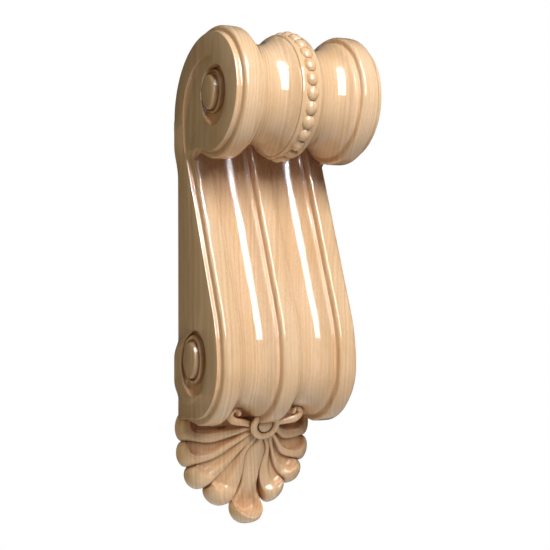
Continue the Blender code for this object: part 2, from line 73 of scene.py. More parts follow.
# The filling behind the roll, and the cheeks that carry each side rim up into the roll's disc:
# (height, half width at the front, front, half width at the side edge).
CROTCH = ((-34.0, 312.5), (2.5, 312.5), (-0.5, 315.0), (-8.0, 325.0), (-34.0, 325.0))
CROTCH_HALF = 58.5
CHEEK_IN, CHEEK_ROUND, CHEEK_SUNK = 54.5, 1.2, 0.4
CHEEK = ((272.0, 56.8, -26.0, 57.2), (280.0, 57.0, -25.6, 59.0), (284.0, 57.5, -25.2, 60.2),
         (286.5, 58.4, -25.8, 61.0), (288.5, 59.6, -28.6, 61.5), (290.0, 60.7, -33.5, 61.8),
         (291.0, 61.6, -39.0, 61.9), (291.6, 61.96, -44.0, 61.96), (303.0, 61.96, -44.0, 61.96),
         (318.0, 61.96, -40.0, 61.96))

# The body: the outline of its side edges, from the neck down to the lower scroll. Between the two heights of
# BODY_WIDENS it grows as wide as the roll.
NECK_Y = -14.8
NECK_TOP = 316.5
NECK_ARC = 90.0
SLOPE = radians(20.6)
BELLY_ARC = 121.0
SCROLL_Y, SCROLL_Z, SCROLL_RADIUS = -30.5, 127.4, 40.0
BODY_RIM, SCROLL_RIM = 5.6, 5.0
EDGE_HALF = 60.7
WALL_HALF = 58.2
BODY_WIDENS = 272.0, 297.0

# Cross-sections: half widths where the rims, the fillets beside them and the coves begin and end.
MID_RIM = 7.1
MID_FILLET = 10.4
COVE_END = 39.6
SIDE_RIM_IN, SIDE_RIM_OUT = 42.7, 57.2
BEAD_BAND, BEAD_BAND_RISE = 8.3, 2.1
COVE_LIP = 1.0
# Fillets at a rim's foot: (distance from the rim, share of its height on the body or height on the roll).
BODY_FOOT = ((0.15, 0.10), (0.45, 0.02), (1.0, 0.0))
ROLL_FOOT = ((0.1, 0.5), (0.4, 0.12), (0.9, 0.0))

# Runs of beads, round the roll and then over its crown: (count, angle of the first and angle from one to the
# next in degrees, height and radius of their circle).
BEAD_RUNS = ((16, -125.8, 13.6, ROLL_Z, ROLL_RADIUS), (6, 91.5, 10.4, CROWN_Z, CROWN_RADIUS))
BEAD_SUNK = 0.9
BEAD_SEGMENTS, BEAD_RINGS = 28, 18

# Eyes of the two scrolls: (y, z, half width, half height) of the recess, the ridge inside it, the trough
# inside the ridge and the button. They touch at the back, where floor and ridge rise by a share of their
# depth between the places of LIFT_SPAN, in half widths from the middle.
UPPER_EYE = ((-66.5, 328.8, 20.0, 22.3), (-59.3, 332.6, 12.8, 16.2), (-58.5, 332.4, 12.0, 14.8),
             (-57.0, 332.0, 10.3, 13.5))
LOWER_EYE = ((-31.6, 129.8, 20.5, 25.4), (-26.9, 132.8, 13.4, 18.6), (-25.8, 132.3, 12.0, 15.6),
             (-25.4, 132.0, 10.9, 14.4))
EYE_ROOT_X, FLOOR_X, RIDGE_X, TROUGH_X, BUTTON_X = 50.0, 54.8, 58.6, 57.6, 62.2
FLOOR_LIFT, RIDGE_LIFT, LIFT_SPAN = 0.45, 0.7, (-0.3, 0.95)
BOSS_ROOT_X, BOSS_Y, BOSS_Z, BOSS_RADIUS, BOSS_TOP = 40.0, -20.0, 124.5, 31.0, 21.5

# The valley round the roll's disc: its path, how its depth eases below and fades out at the front, and the
# shares of its width where its gentle side is drawn.
GROOVE_Y, GROOVE_Z, GROOVE_RADIUS, GROOVE_WIDTH, GROOVE_DEPTH = -57.5, 318.0, 42.4, 14.0, 1.9
GROOVE_EASE, GROOVE_OVER, GROOVE_TURN, GROOVE_STEPS = 0.6, 0.4, radians(118), 79
GROOVE_SHARES = (0.0, 0.06, 0.14, 0.25, 0.4, 0.55, 0.7, 0.85, 1.0)

# The leaf: lobes fan out from a small ring under the lower scroll. Lobe 0 is the tongue in the middle.
LEAF_Z = 81.0
RING_Y, RING_RADIUS, RING_WIRE, RING_TILT = -34.0, 9.7, 2.9, radians(24)
DOME_RADIUS, DOME_FOOT, DOME_RISE, DOME_ROOT = 6.2, 0.1, 2.3, -8.0
LEAF_TOP, LEAF_FALL, LEAF_REACH = 7.0, 22.0, 30.0
LEAF_SQUEEZE, LEAF_ROOT = 4.2, (38.0, -16.0, 2.0, 80.0, 98.0)
LOBE_ROOTS = (13.0, 32.0, 48.5, 66.5, 99.0)
LOBE_EDGES = (13.0, 36.5, 57.0, 77.0, 99.0)
NOTCH_RADII = (63.5, 62.0, 61.5, 58.0, 57.0)
LOBE_RADII = (70.0, 69.0, 65.0, 61.5)
TONGUE_RADIUS = 80.8
TONGUE_STEM, TONGUE_BOWL = 2.6, -6.6
LIP_RISE, LIP_PLACE, LIP_INSIDE, LIP_OUTSIDE = 18.5, 0.915, 0.040, 0.11
STEP_ANGLE = 0.8
ROUND_FROM, ROUND_SPAN = 0.84, 0.16
EDGE_PAST_WALL = 0.8
# For lobes 1 to 4: share of the width that the band takes near the ring and at the hollow's end, the radius
# at which the hollow ends and that of its corner, the heights of its floor, of the band and of the end, and
# the widths of the wall down to the floor along the side and at the end.
LOBES = {1: (0.38, 0.50, 58.0, 6.0, -2.2, 1.5, 4.6, 5.5, 4.0),
         2: (0.24, 0.46, 57.0, 6.0, -2.4, 1.6, 4.8, 5.5, 4.0),
         3: (0.46, 0.42, 57.3, 6.5, -3.2, 2.4, 3.2, 2.4, 2.6),
         4: (0.40, 0.37, 53.5, 7.5, -3.4, 2.8, 3.2, 2.6, 3.0)}
# The curl beside the ring: (x, y, z, radius) along it.
CURL = ((6.0, -26.5, 80.0, 2.0), (11.5, -28.0, 81.8, 2.5), (17.6, -29.6, 83.4, 2.9),
        (23.2, -31.2, 84.4, 3.2), (28.2, -32.6, 86.2, 3.3), (30.9, -33.8, 89.8, 3.0),
        (29.5, -35.0, 93.2, 2.5), (26.2, -35.6, 93.6, 2.3), (24.9, -36.0, 91.1, 2.7),
        (25.7, -36.6, 90.2, 1.4))

# How far the solids run into the wall before the flat back is cut, and the block that cuts it.
BACK = 4.0
WALL_CUT = (90.0, 0.0, 60.0, -20.0, 400.0)

# The photograph's viewpoint, in metres and degrees.
CAMERA_PLACE = (-0.5288, -0.9841, -0.0134)
CAMERA_TURN = (90.0, 0.0, -29.5)
CAMERA_LENS, CAMERA_SENSOR, CAMERA_SHIFT = 91.71, 36.0, 0.0487

# Lamps, in metres: name, property with its power, rays that it is hidden from, colour, place, target, (width,
# height). The key has three parts: a panel that lights the wood, one that only the lacquer mirrors, and a
# sheen without shadow, which reaches under the roll as on the photographed piece.
WHITE = (1.0, 1.0, 1.0)
LAMPS = (("key_light", "key_power", 'glossy', (0.92, 0.97, 1.0),
          (-0.03, -0.675, 0.49), (0.0, -0.04, 0.08), (0.34, 0.38)),
         ("key_softbox", "shine_power", 'diffuse', WHITE,
          (-0.03, -0.70, 0.45), (0.0, -0.04, 0.08), (0.38, 0.52)),
         ("fill_panel", "fill_power", None, (1.0, 0.92, 0.49),
          (-1.3, -0.08, 0.1), (0.0, -0.04, 0.0), (0.6, 1.2)),
         ("low_key", "low_power", 'glossy', WHITE,
          (-0.03, -0.95, 0.25), (0.0, -0.05, -0.12), (0.3, 0.3)),
         ("bounce_panel", "bounce_power", 'glossy', (0.85, 0.95, 1.0),
          (-0.05, -0.09, -0.36), (0.0, -0.05, -0.12), (0.3, 0.12)),
         ("back_panel", "back_power", 'glossy', WHITE,
          (0.9, 1.1, 0.2), (0.0, -0.04, 0.0), (0.9, 1.3)),
         ("floor_light", "floor_power", 'glossy', WHITE,
          (0.0, 0.0, -0.5), (0.0, 0.0, -0.9), (1.6, 1.6)),
         ("key_sheen", "sheen_power", 'diffuse', WHITE,
          (-0.01, -0.46, 0.59), (0.0, -0.04, 0.09), (0.32, 0.32)))
LOW_KEY_SPREAD = radians(25)
AMBIENT_COLOUR, AMBIENT_STRENGTH = (0.88, 0.95, 1.0, 1.0), 0.052
FLOOR_RADIUS, FLOOR_ROUGHNESS = 1.3, 0.9

# The wood: the heart of the log, how far its growth rings wander, their pitch and the width of the broader
# bands in millimetres, how strongly ring lines, bands and fibres are drawn, and how near other wood must come
# for painted shade in a hollow or a crease, in metres. Noises: (width across and length along the grain in
# millimetres, detail, roughness). The rings wander, the fibres are drawn coarser than real ones so that they
# show, the patches are warmer wood, and the waves are left by the sanding.
HEART = (-150.0, 120.0, 0.0)
RING_WANDER, RING_PITCH, BAND_WIDTH = 14.0, 3.1, 2.381
LINE_STRENGTH, BAND_STRENGTH, FIBRE_STRENGTH = 0.16, 0.36, 0.42
HOLLOW_REACH, CREASE_REACH = 0.013, 0.0035
NOISES = {"wander": (62.5, 222.2, 2.0, 0.5), "fibre": (0.6667, 20.0, 4.0, 0.65),
          "patch": (33.33, 83.33, 2.0, 0.5), "waves": (10.0, 28.57, 1.0, 0.5)}


def paint(code):
    """An sRGB hex colour as linear numbers."""
    parts = [int(code[place:place + 2], 16) / 255 for place in (1, 3, 5)]
    return tuple(part / 12.92 if part <= 0.04045 else ((part + 0.055) / 1.055) ** 2.4 for part in parts)


class CorbelCarving(bpy.types.PropertyGroup):
    """Sizes of the carving that a user may change."""
    cove_depth: FloatProperty(
        name="Cove depth", description="Depth of the two hollows down the front",
        default=7.3 * MM, min=0.0, unit='LENGTH', precision=4)
    rim_round: FloatProperty(
        name="Rim rounding", description="Radius of the rims' edges",
        default=2.4 * MM, min=0.0002, unit='LENGTH', precision=4)
    bead_half: FloatProperty(
        name="Bead half width", description="Half of a bead's width across the roll",
        default=5.3 * MM, min=0.001, unit='LENGTH', precision=4)
    bead_long: FloatProperty(
        name="Bead half length", description="Half of a bead's length round the roll",
        default=5.8 * MM, min=0.001, unit='LENGTH', precision=4)
    bead_rise: FloatProperty(
        name="Bead rise", description="Height of a bead over its centre",
        default=4.2 * MM, min=0.001, unit='LENGTH', precision=4)
    fineness: IntProperty(
        name="Fineness", description="Steps across one cove; the other parts follow",
        default=20, min=6, max=40)


class CorbelFinish(bpy.types.PropertyGroup):
    """Colours of the wood, and of the shade painted into its hollows and creases."""
    pale: FloatVectorProperty(
        name="Pale wood", description="Early wood between the growth rings",
        subtype='COLOR', size=3, min=0.0, max=1.0, default=paint("#E9C7A4"))
    warm: FloatVectorProperty(
        name="Warm wood", description="Warmer patches of the heartwood",
        subtype='COLOR', size=3, min=0.0, max=1.0, default=paint("#DDB58B"))
    line: FloatVectorProperty(
        name="Ring line", description="Late wood that draws the grain",
        subtype='COLOR', size=3, min=0.0, max=1.0, default=paint("#C29364"))
    # Painted shade for hollows, warm as if lacquer pooled there.
    glaze_and_shade: FloatVectorProperty(
        name="Pooled lacquer", description="Deeper colour of lacquer in hollows",
        subtype='COLOR', size=3, min=0.0, max=1.0, default=paint("#DAB18C"))
    # Painted shade for sharp inner corners.
    crease: FloatVectorProperty(
        name="Creases", description="Darkest colour, in sharp inner corners",
        subtype='COLOR', size=3, min=0.0, max=1.0, default=paint("#8C6A50"))


class CorbelStudio(bpy.types.PropertyGroup):
    """The floor and the lamps."""
    floor_colour: FloatVectorProperty(
        name="Floor colour", description="Colour of the pale floor",
        subtype='COLOR', size=3, min=0.0, max=1.0, default=paint("#DCDBD7"))
    floor_drop: FloatProperty(
        name="Floor drop", description="Height of the mount over the floor",
        default=0.9, min=0.2, unit='LENGTH')
    key_power: FloatProperty(
        name="Key light", description="Power of the main light, high in front",
        default=7.6, min=0.0, unit='POWER')
    shine_power: FloatProperty(
        name="Key softbox", description="Power of the panel that the lacquer mirrors",
        default=8.1, min=0.0, unit='POWER')
    sheen_power: FloatProperty(
        name="Key sheen", description="Power of the shine that reaches under the roll",
        default=6.6, min=0.0, unit='POWER')
    bounce_power: FloatProperty(
        name="Bounce panel", description="Power of the weak panel below",
        default=0.10, min=0.0, unit='POWER')
    back_power: FloatProperty(
        name="Back panel", description="Power of the panel behind, on the right",
        default=13.0, min=0.0, unit='POWER')
    floor_power: FloatProperty(
        name="Floor light", description="Power of the panel over the floor",
        default=6.0, min=0.0, unit='POWER')
    low_power: FloatProperty(
        name="Low key", description="Power of the narrow beam on the lower half",
        default=0.10, min=0.0, unit='POWER')
    fill_power: FloatProperty(
        name="Fill panel", description="Power of the warm panel on the left",
        default=2.6, min=0.0, unit='POWER')


def settings():
    """The scene's three groups of properties."""
    scene = bpy.context.scene
    return scene.corbel_carving, scene.corbel_finish, scene.corbel_studio


def smooth(edge0, edge1, value):
    """0 before edge0, 1 after edge1 and an even curve between them; takes numbers or arrays."""
    t = np.clip((value - edge0) / (edge1 - edge0), 0.0, 1.0)
    return t * t * (3.0 - 2.0 * t)


def solid(name, points, faces):
    """One closed mesh from millimetre points, with its faces turned outwards."""
    mesh = bpy.data.meshes.new(name)
    mesh.from_pydata([(x * MM, y * MM, (z - MOUNT_HEIGHT) * MM) for x, y, z in points], [], faces)
    shape = bmesh.new()
    shape.from_mesh(mesh)
    bmesh.ops.remove_doubles(shape, verts=shape.verts, dist=0.000005)
    bmesh.ops.dissolve_degenerate(shape, edges=shape.edges, dist=0.000001)
    bmesh.ops.recalc_face_normals(shape, faces=shape.faces)
    bmesh.ops.triangulate(shape, faces=shape.faces)
    shape.to_mesh(mesh)
    shape.free()
    thing = bpy.data.objects.new(name, mesh)
    bpy.context.scene.collection.objects.link(thing)
    return thing


def loft(name, loops, closed=False, on_axis=False):
    """Joins loops of equal length; open ones get a flat cap at each end.

    Loops whose two ends lie on the axis that they turn about are joined without a face between the ends.
    """
    count = len(loops[0])
    points = [point for loop in loops for point in loop]
    faces = []
    for row in range(len(loops) if closed else len(loops) - 1):
        start, after = row * count, (row + 1) % len(loops) * count
        for column in range(count - 1 if on_axis else count):
            beside = (column + 1) % count
            faces.append((start + column, start + beside, after + beside, after + column))
    if not closed:
        faces.append(tuple(range(count)))
        faces.append(tuple(range((len(loops) - 1) * count, len(loops) * count)))
    return solid(name, points, faces)


def turned(name, profile, centre, side, steps=96, squash=1.0, lift=0.0):
    """A solid turned about an X line through centre: profile holds (x, radius), both ends on the axis.

    With lift, all that lies towards the wall rises out of the bracket's side by so much, on an even curve.
    """
    widest = squash * max(r for _, r in profile)
    loops = []
    for step in range(steps):
        across, up = squash * cos(2 * pi * step / steps), sin(2 * pi * step / steps)
        loop = []
        for x, r in profile:
            raised = x + lift * smooth(LIFT_SPAN[0] * widest, LIFT_SPAN[1] * widest, -r * across)
            loop.append((side * raised, centre[0] - r * across, centre[1] + r * up))
        loops.append(loop)
    return loft(name, loops, closed=True, on_axis=True)


def prism(name, half, outline):
    """A plain solid across the bracket from its (y, z) outline."""
    return loft(name, [[(x, y, z) for y, z in outline] for x in (-half, half)])


def block(name, half, y0, y1, z0, z1):
    """A plain box, centred across the bracket."""
    return prism(name, half, ((y0, z0), (y1, z0), (y1, z1), (y0, z1)))


def corner(x, r, dx, dr, radius, start, end, steps=5):
    """A rounded corner about (x, r): dx and dr are the signs of its quarter, start and end are degrees."""
    for step in range(steps + 1):
        angle = radians(start + (end - start) * step / steps)
        yield x + dx * radius * cos(angle), r + dr * radius * sin(angle)


def arc_points(y, z, radius, start, end, steps):
    """Points and front normals along an arc: angle 0 faces the front and a quarter turn faces up."""
    for step in range(steps + 1):
        angle = start + (end - start) * step / steps
        yield y - radius * cos(angle), z + radius * sin(angle), -cos(angle), sin(angle)


def combine(base, thing, operation):
    """Joins a solid to the bracket, or cuts it away, and removes it."""
    name = thing.name
    step = base.modifiers.new(name, 'BOOLEAN')
    step.operation = operation
    step.solver = 'MANIFOLD'
    step.object = thing
    bpy.context.view_layer.update()
    graph = bpy.context.evaluated_depsgraph_get()
    mesh = bpy.data.meshes.new_from_object(base.evaluated_get(graph))
    base.modifiers.remove(step)
    bpy.data.objects.remove(thing, do_unlink=True)
    if not mesh.polygons:
        raise RuntimeError(f"the step with {name} left nothing")
    base.data = mesh


def cove(start, end, depth, steps):
    """Points across a cove: (x, height) without its two ends."""
    half, middle = (end - start) / 2, (start + end) / 2
    radius = (half * half + depth * depth) / (2 * depth)
    for step in range(1, steps):
        offset = half * (2 * step / steps - 1)
        yield middle + offset, radius - depth - sqrt(radius * radius - offset * offset)


def mirrored(half):
    """A cross-section from its right half, from left to right; the half starts on the middle."""
    return [(-point[0],) + point[1:] for point in reversed(half[1:])] + half


def body_path():
    """The side edge's outline with its normals, from the neck to the leaf."""
    belly_y = SCROLL_Y - SCROLL_RADIUS + BELLY_ARC
    top_y, top_z = belly_y - BELLY_ARC * cos(SLOPE), SCROLL_Z + BELLY_ARC * sin(SLOPE)
    bend_y = NECK_Y - NECK_ARC * (1 - cos(SLOPE))
    bend_z = top_z + (bend_y - top_y) / tan(SLOPE)
    neck_z = bend_z + NECK_ARC * sin(SLOPE)
    path = [(NECK_Y, NECK_TOP, -1.0, 0.0)]
    path.extend(arc_points(NECK_Y - NECK_ARC, neck_z, -NECK_ARC, 0.0, SLOPE, 10))
    for step in range(1, 24):
        share = step / 24
        y, z = bend_y + share * (top_y - bend_y), bend_z + share * (top_z - bend_z)
        path.append((y, z, -cos(SLOPE), sin(SLOPE)))
    path.extend(arc_points(belly_y, SCROLL_Z, BELLY_ARC, SLOPE, radians(0.5), 12))
    path.extend(arc_points(SCROLL_Y, SCROLL_Z, SCROLL_RADIUS, 0.0, radians(-90), 34))
    path.append((-12.0, SCROLL_Z - SCROLL_RADIUS - 1.5, 0.0, -1.0))
    return path


def rounded(edge, side, radius, steps=6):
    """(x, share of its height) along a rim's rounded edge: side is 1 where it begins, -1 where it ends."""
    for step in range(steps + 1):
        angle = pi / 2 * step / steps if side > 0 else pi / 2 * (1 - step / steps)
        yield edge + side * radius * (1 - cos(angle)), sin(angle)


def body_section(round_off, depth, steps):
    """(x, share of the rims' height, own height) across the body."""
    low = 1 - 1.15 * round_off / BODY_RIM
    half = [(0.0, 1.03, 0.0), (2.6, 1.02, 0.0)]
    half.extend((x, low + (1 - low) * up, 0.0) for x, up in rounded(MID_RIM, -1, round_off))
    half.extend((MID_RIM + gap, share, 0.0) for gap, share in BODY_FOOT)
    half.extend(((MID_FILLET - 0.5, 0.0, 0.0), (MID_FILLET, 0.0, -0.12)))
    half.extend((x, 0.0, height) for x, height in cove(MID_FILLET + 0.2, COVE_END - 0.2, depth, steps))
    half.extend(((COVE_END, 0.0, -0.12), (COVE_END + 0.5, 0.0, 0.0)))
    half.extend((SIDE_RIM_IN - gap, share, 0.0) for gap, share in reversed(BODY_FOOT))
    half.extend((x, low + (1 - low) * up, 0.0) for x, up in rounded(SIDE_RIM_IN, 1, round_off))
    half.append(((SIDE_RIM_IN + SIDE_RIM_OUT) / 2, 1.03, 0.0))
    half.extend((x, low + (1 - low) * up, 0.0) for x, up in rounded(SIDE_RIM_OUT, -1, round_off))
    half.extend((SIDE_RIM_OUT + gap, share, 0.0) for gap, share in BODY_FOOT)
    half.extend(((EDGE_HALF - 1.0, 0.0, 0.0), (EDGE_HALF - 0.7, 0.0, 0.0)))
    half.extend(((EDGE_HALF - 0.2, 0.0, -0.2), (EDGE_HALF, 0.0, -0.7)))
    return mirrored(half)


def roll_section(round_off, depth, steps):
    """(x, height) across the roll, from its side discs' radius."""
    edge = 1.05 * round_off
    half = [(0.0, BEAD_BAND_RISE), (BEAD_BAND - 0.5, BEAD_BAND_RISE), (BEAD_BAND - 0.1, BEAD_BAND_RISE - 0.2),
            (BEAD_BAND + 0.1, BEAD_BAND_RISE - 0.6), (BEAD_BAND + 0.25, COVE_LIP - 0.25),
            (BEAD_BAND + 0.55, COVE_LIP - 0.35)]
    half.extend((x, height + COVE_LIP * (COVE_END - x) / (COVE_END - BEAD_BAND))
                for x, height in cove(BEAD_BAND + 0.7, COVE_END - 1.0, depth, steps))
    half.extend(((COVE_END - 1.0, -0.12), (COVE_END - 0.5, 0.0)))
    half.extend((SIDE_RIM_IN - gap, rise) for gap, rise in reversed(ROLL_FOOT))
    half.extend((x, ROLL_RIM - edge * (1 - up)) for x, up in rounded(SIDE_RIM_IN, 1, edge))
    half.append((SIDE_RIM_IN + edge + 0.4, ROLL_RIM + 0.02))
    half.append(((SIDE_RIM_IN + SIDE_RIM_OUT) / 2, ROLL_RIM + 0.1))
    half.append((SIDE_RIM_OUT - edge - 0.4, ROLL_RIM + 0.02))
    half.extend((x, ROLL_RIM - edge * (1 - up)) for x, up in rounded(SIDE_RIM_OUT, -1, edge))
    half.extend((SIDE_RIM_OUT + gap, rise) for gap, rise in ROLL_FOOT)
    half.extend(((FACE_HALF - 1.3, 0.0), (FACE_HALF - 0.9, 0.0)))
    half.extend(((FACE_HALF - 0.25, -0.25), (FACE_HALF, -0.9)))
    return mirrored(half)


def body(carving):
    """The shaft: the cross-section swept down the front outline and closed at the wall."""
    section = body_section(carving.rim_round / MM, carving.cove_depth / MM, carving.fineness)
    loops = []
    path = body_path()
    for index, (y, z, ny, nz) in enumerate(path):
        rim = BODY_RIM + (SCROLL_RIM - BODY_RIM) * smooth(SCROLL_Z, SCROLL_Z - SCROLL_RADIUS, z)
        flat = index == len(path) - 1
        spread = smooth(*BODY_WIDENS, z) * (FACE_HALF - 0.1 - WALL_HALF)
        wide = max(EDGE_HALF, WALL_HALF + spread)
        loop = [(-WALL_HALF - spread, BACK, z)]
        for x, share, height in section:
            rise = 0.0 if flat else share * rim + height
            across = x if abs(x) < EDGE_HALF - 1.0 else x * wide / EDGE_HALF
            loop.append((across, y + ny * rise, z + nz * rise))
        loop.append((WALL_HALF + spread, BACK, z))
        loops.append(loop)
    return loft("body", loops)


def roll(carving):
    """The spool and the crown that carries it back to the wall, closed around the spool's axis."""
    section = roll_section(carving.rim_round / MM, carving.cove_depth / MM, carving.fineness)
    path = [point + (1.0,) for point in arc_points(ROLL_Y, ROLL_Z, ROLL_RADIUS, ROLL_START, radians(90), 124)]
    for step in range(1, 37):
        angle = pi / 2 + pi / 2 * step / 36
        y, z, ny, nz = next(arc_points(ROLL_Y, CROWN_Z, CROWN_RADIUS, angle, angle, 1))
        path.append((y, z, ny, nz, 1 - smooth(*CROWN_FLATTENS, angle)))
    path.append((BACK - 1.0, CROWN_FOOT_Z, 0.0, 0.0, 0.0))
    loops = []
    for y, z, ny, nz, hollow in path:
        loop = [(-FACE_HALF, ROLL_Y, ROLL_Z)]
        for x, rise in section:
            height = rise if rise > 0 or abs(x) > COVE_END else rise * hollow
            loop.append((x, y + ny * height, z + nz * height))
        loop.append((FACE_HALF, ROLL_Y, ROLL_Z))
        loops.append(loop)
    return loft("roll", loops, closed=True, on_axis=True)


def edge_depth(height):
    """Where the body's side edge lies at a height on the neck."""
    path = sorted((z, y) for y, z, ny, nz in body_path()[:24])
    return float(np.interp(height, [z for z, y in path], [y for z, y in path]))


def cheek(side):
    """The outer edge of the side rim's upper end, which widens and swings forwards under the roll's disc."""
    loops = []
    for z, wide, front, edge in CHEEK:
        back = edge_depth(z) + CHEEK_SUNK
        near = front + CHEEK_ROUND
        loop = [(CHEEK_IN, back + 3.0), (CHEEK_IN, front)]
        loop.extend(corner(wide - CHEEK_ROUND, near, 1, -1, CHEEK_ROUND, 90, 0))
        loop.extend(((edge, back), (edge - 6.0, back + 3.0)))
        loops.append([(side * x, y, z) for x, y in loop])
    return loft("cheek", loops)


def boss(side):
    """The low swelling that carries the lower eye out to the roll's face."""
    rise = FACE_HALF - 0.1
    profile = [(BOSS_ROOT_X, 0.0), (BOSS_ROOT_X, BOSS_RADIUS)]
    for step in range(11):
        share = step / 10
        profile.append((WALL_HALF + (rise - WALL_HALF) * smooth(0.0, 1.0, share),
                        BOSS_RADIUS + (BOSS_TOP - BOSS_RADIUS) * share))
    profile.append((rise, 0.0))
    return turned("boss", profile, (BOSS_Y, BOSS_Z), side)


def groove(side):
    """The valley that parts the roll's disc from the band round it: steep outside, gentle inside."""
    path = [(y - 0.3, z, -ny, -nz, smooth(283.0, 294.0, z)) for y, z, ny, nz in reversed(body_path()[1:12])]
    for step in range(GROOVE_STEPS + 1):
        angle = pi - GROOVE_TURN * step / GROOVE_STEPS
        radius = GROOVE_RADIUS - 2.0 * smooth(radians(115), radians(68), angle)
        y, z, ny, nz = next(arc_points(GROOVE_Y, GROOVE_Z, radius, angle, angle, 1))
        path.append((y, z, ny, nz, 1 - smooth(radians(112), radians(66), angle)))
    loops = []
    for y, z, ny, nz, fade in path:
        depth = (GROOVE_DEPTH - GROOVE_EASE * smooth(330.0, 312.0, z) + GROOVE_OVER) * fade - GROOVE_OVER
        loop = [(FACE_HALF + 1.0, -0.5), (FACE_HALF + 0.1, 0.0), (FACE_HALF - 0.9 * depth, 0.6)]
        for share in GROOVE_SHARES:
            loop.append((FACE_HALF - depth * (1 - share) ** 1.3, 1.2 + share * GROOVE_WIDTH))
        loop.append((FACE_HALF + 1.0, GROOVE_WIDTH + 3.0))
        loops.append([(side * x, y - ny * inward, z - nz * inward) for x, inward in loop])
    return loft("groove", loops)


def eye(side, rings):
    """The solids that shape one eye, in order: (solid, operation)."""
    recess, ridge, trough, button = rings
    above = FACE_HALF + 2.0
    cut = [(FLOOR_X, 0.0)]
    cut.extend(corner(FLOOR_X + 1.0, recess[3] - 1.7, -1, 1, 1.0, 0, 90))
    cut.extend(((FACE_HALF - 1.1, recess[3] - 0.25), (FACE_HALF - 0.4, recess[3])))
    cut.extend(((FACE_HALF, recess[3] + 0.5), (above, recess[3] + 2.4), (above, 0.0)))
    band = [(EYE_ROOT_X, 0.0), (EYE_ROOT_X, ridge[3])]
    band.extend(corner(RIDGE_X - 1.3, ridge[3] - 1.3, 1, 1, 1.3, 90, 0, 6))
    band.append((RIDGE_X, 0.0))
    ring = [(TROUGH_X, 0.0)]
    ring.extend(corner(TROUGH_X + 0.7, trough[3] - 1.2, -1, 1, 0.7, 0, 90))
    ring.extend(((RIDGE_X - 0.6, trough[3] - 0.3), (RIDGE_X, trough[3] + 0.4)))
    ring.extend(((above, trough[3] + 2.4), (above, 0.0)))
    knob = [(EYE_ROOT_X, 0.0), (EYE_ROOT_X, button[3]), (TROUGH_X + 0.5, button[3])]
    knob.extend(corner(BUTTON_X - 2.0, button[3] - 2.2, 1, 1, 1.7, 90, 10, 7))
    knob.extend(((BUTTON_X - 0.1, button[3] - 4.5), (BUTTON_X + 0.2, 0.0)))
    squash = [half_width / half_height for _, _, half_width, half_height in rings]
    deep, over, within = (FACE_HALF - level for level in (FLOOR_X, RIDGE_X, TROUGH_X))
    return ((turned("recess", cut, recess, side, 120, squash[0], FLOOR_LIFT * deep), 'DIFFERENCE'),
            (turned("ridge", band, ridge, side, 112, squash[1], RIDGE_LIFT * over), 'UNION'),
            (turned("trough", ring, trough, side, 104, squash[2], RIDGE_LIFT * within), 'DIFFERENCE'),
            (turned("button", knob, button, side, 96, squash[3]), 'UNION'))


def leaf_base(radius):
    """Depth of the leaf's ground from the wall at a distance from its ring."""
    return LEAF_TOP + LEAF_FALL * np.exp(-(radius / LEAF_REACH) ** 2)


def lobe_reach(lobe, share):
    """Distance of the leaf's outline from the ring's middle."""
    if lobe == 0:
        return NOTCH_RADII[0] + (TONGUE_RADIUS - NOTCH_RADII[0]) * sqrt(1 - share * share)
    notch, after = NOTCH_RADII[lobe - 1], NOTCH_RADII[lobe]
    bulge = LOBE_RADII[lobe - 1] - (notch + after) / 2
    return notch + (after - notch) * share + bulge * (1 - (2 * share - 1) ** 2) ** 0.6


def edge_angle(edge, t):
    """Angle of the line between two lobes, from ring to rim; the tongue's own line is a soft S."""
    angle = LOBE_ROOTS[edge] + (LOBE_EDGES[edge] - LOBE_ROOTS[edge]) * smooth(0.5, 1.0, t)
    if edge == 0:
        angle = angle + 8.0 * np.exp(-((t - 0.25) / 0.15) ** 2) - 3.0 * np.exp(-((t - 0.66) / 0.2) ** 2)
    return angle


def lobe_angle(lobe, share, t):
    """Angle of a point in a lobe, which starts a small step beyond the line that ends the lobe before it."""
    if lobe == 0:
        return share * edge_angle(0, t)
    start = edge_angle(lobe - 1, t) + STEP_ANGLE
    return start + share * (edge_angle(lobe, t) - start)


def tongue_relief(share, t):
    """The tongue over the leaf's ground: a rounded stem that opens into a bowl with a lip rolled forwards."""
    stem = TONGUE_STEM * (1 - share ** 2) - 1.0
    bowl = TONGUE_BOWL + 2.8 * smooth(0.45, 0.80, share) - 3.0 * smooth(0.82, 1.0, share)
    lip = LIP_RISE * np.exp(-((t - LIP_PLACE) / np.where(t < LIP_PLACE, LIP_INSIDE, LIP_OUTSIDE)) ** 2)
    end = smooth(0.52, 0.80, t)
    return stem * (1 - end) + bowl * end + lip * (1 - share ** 2) ** 1.1


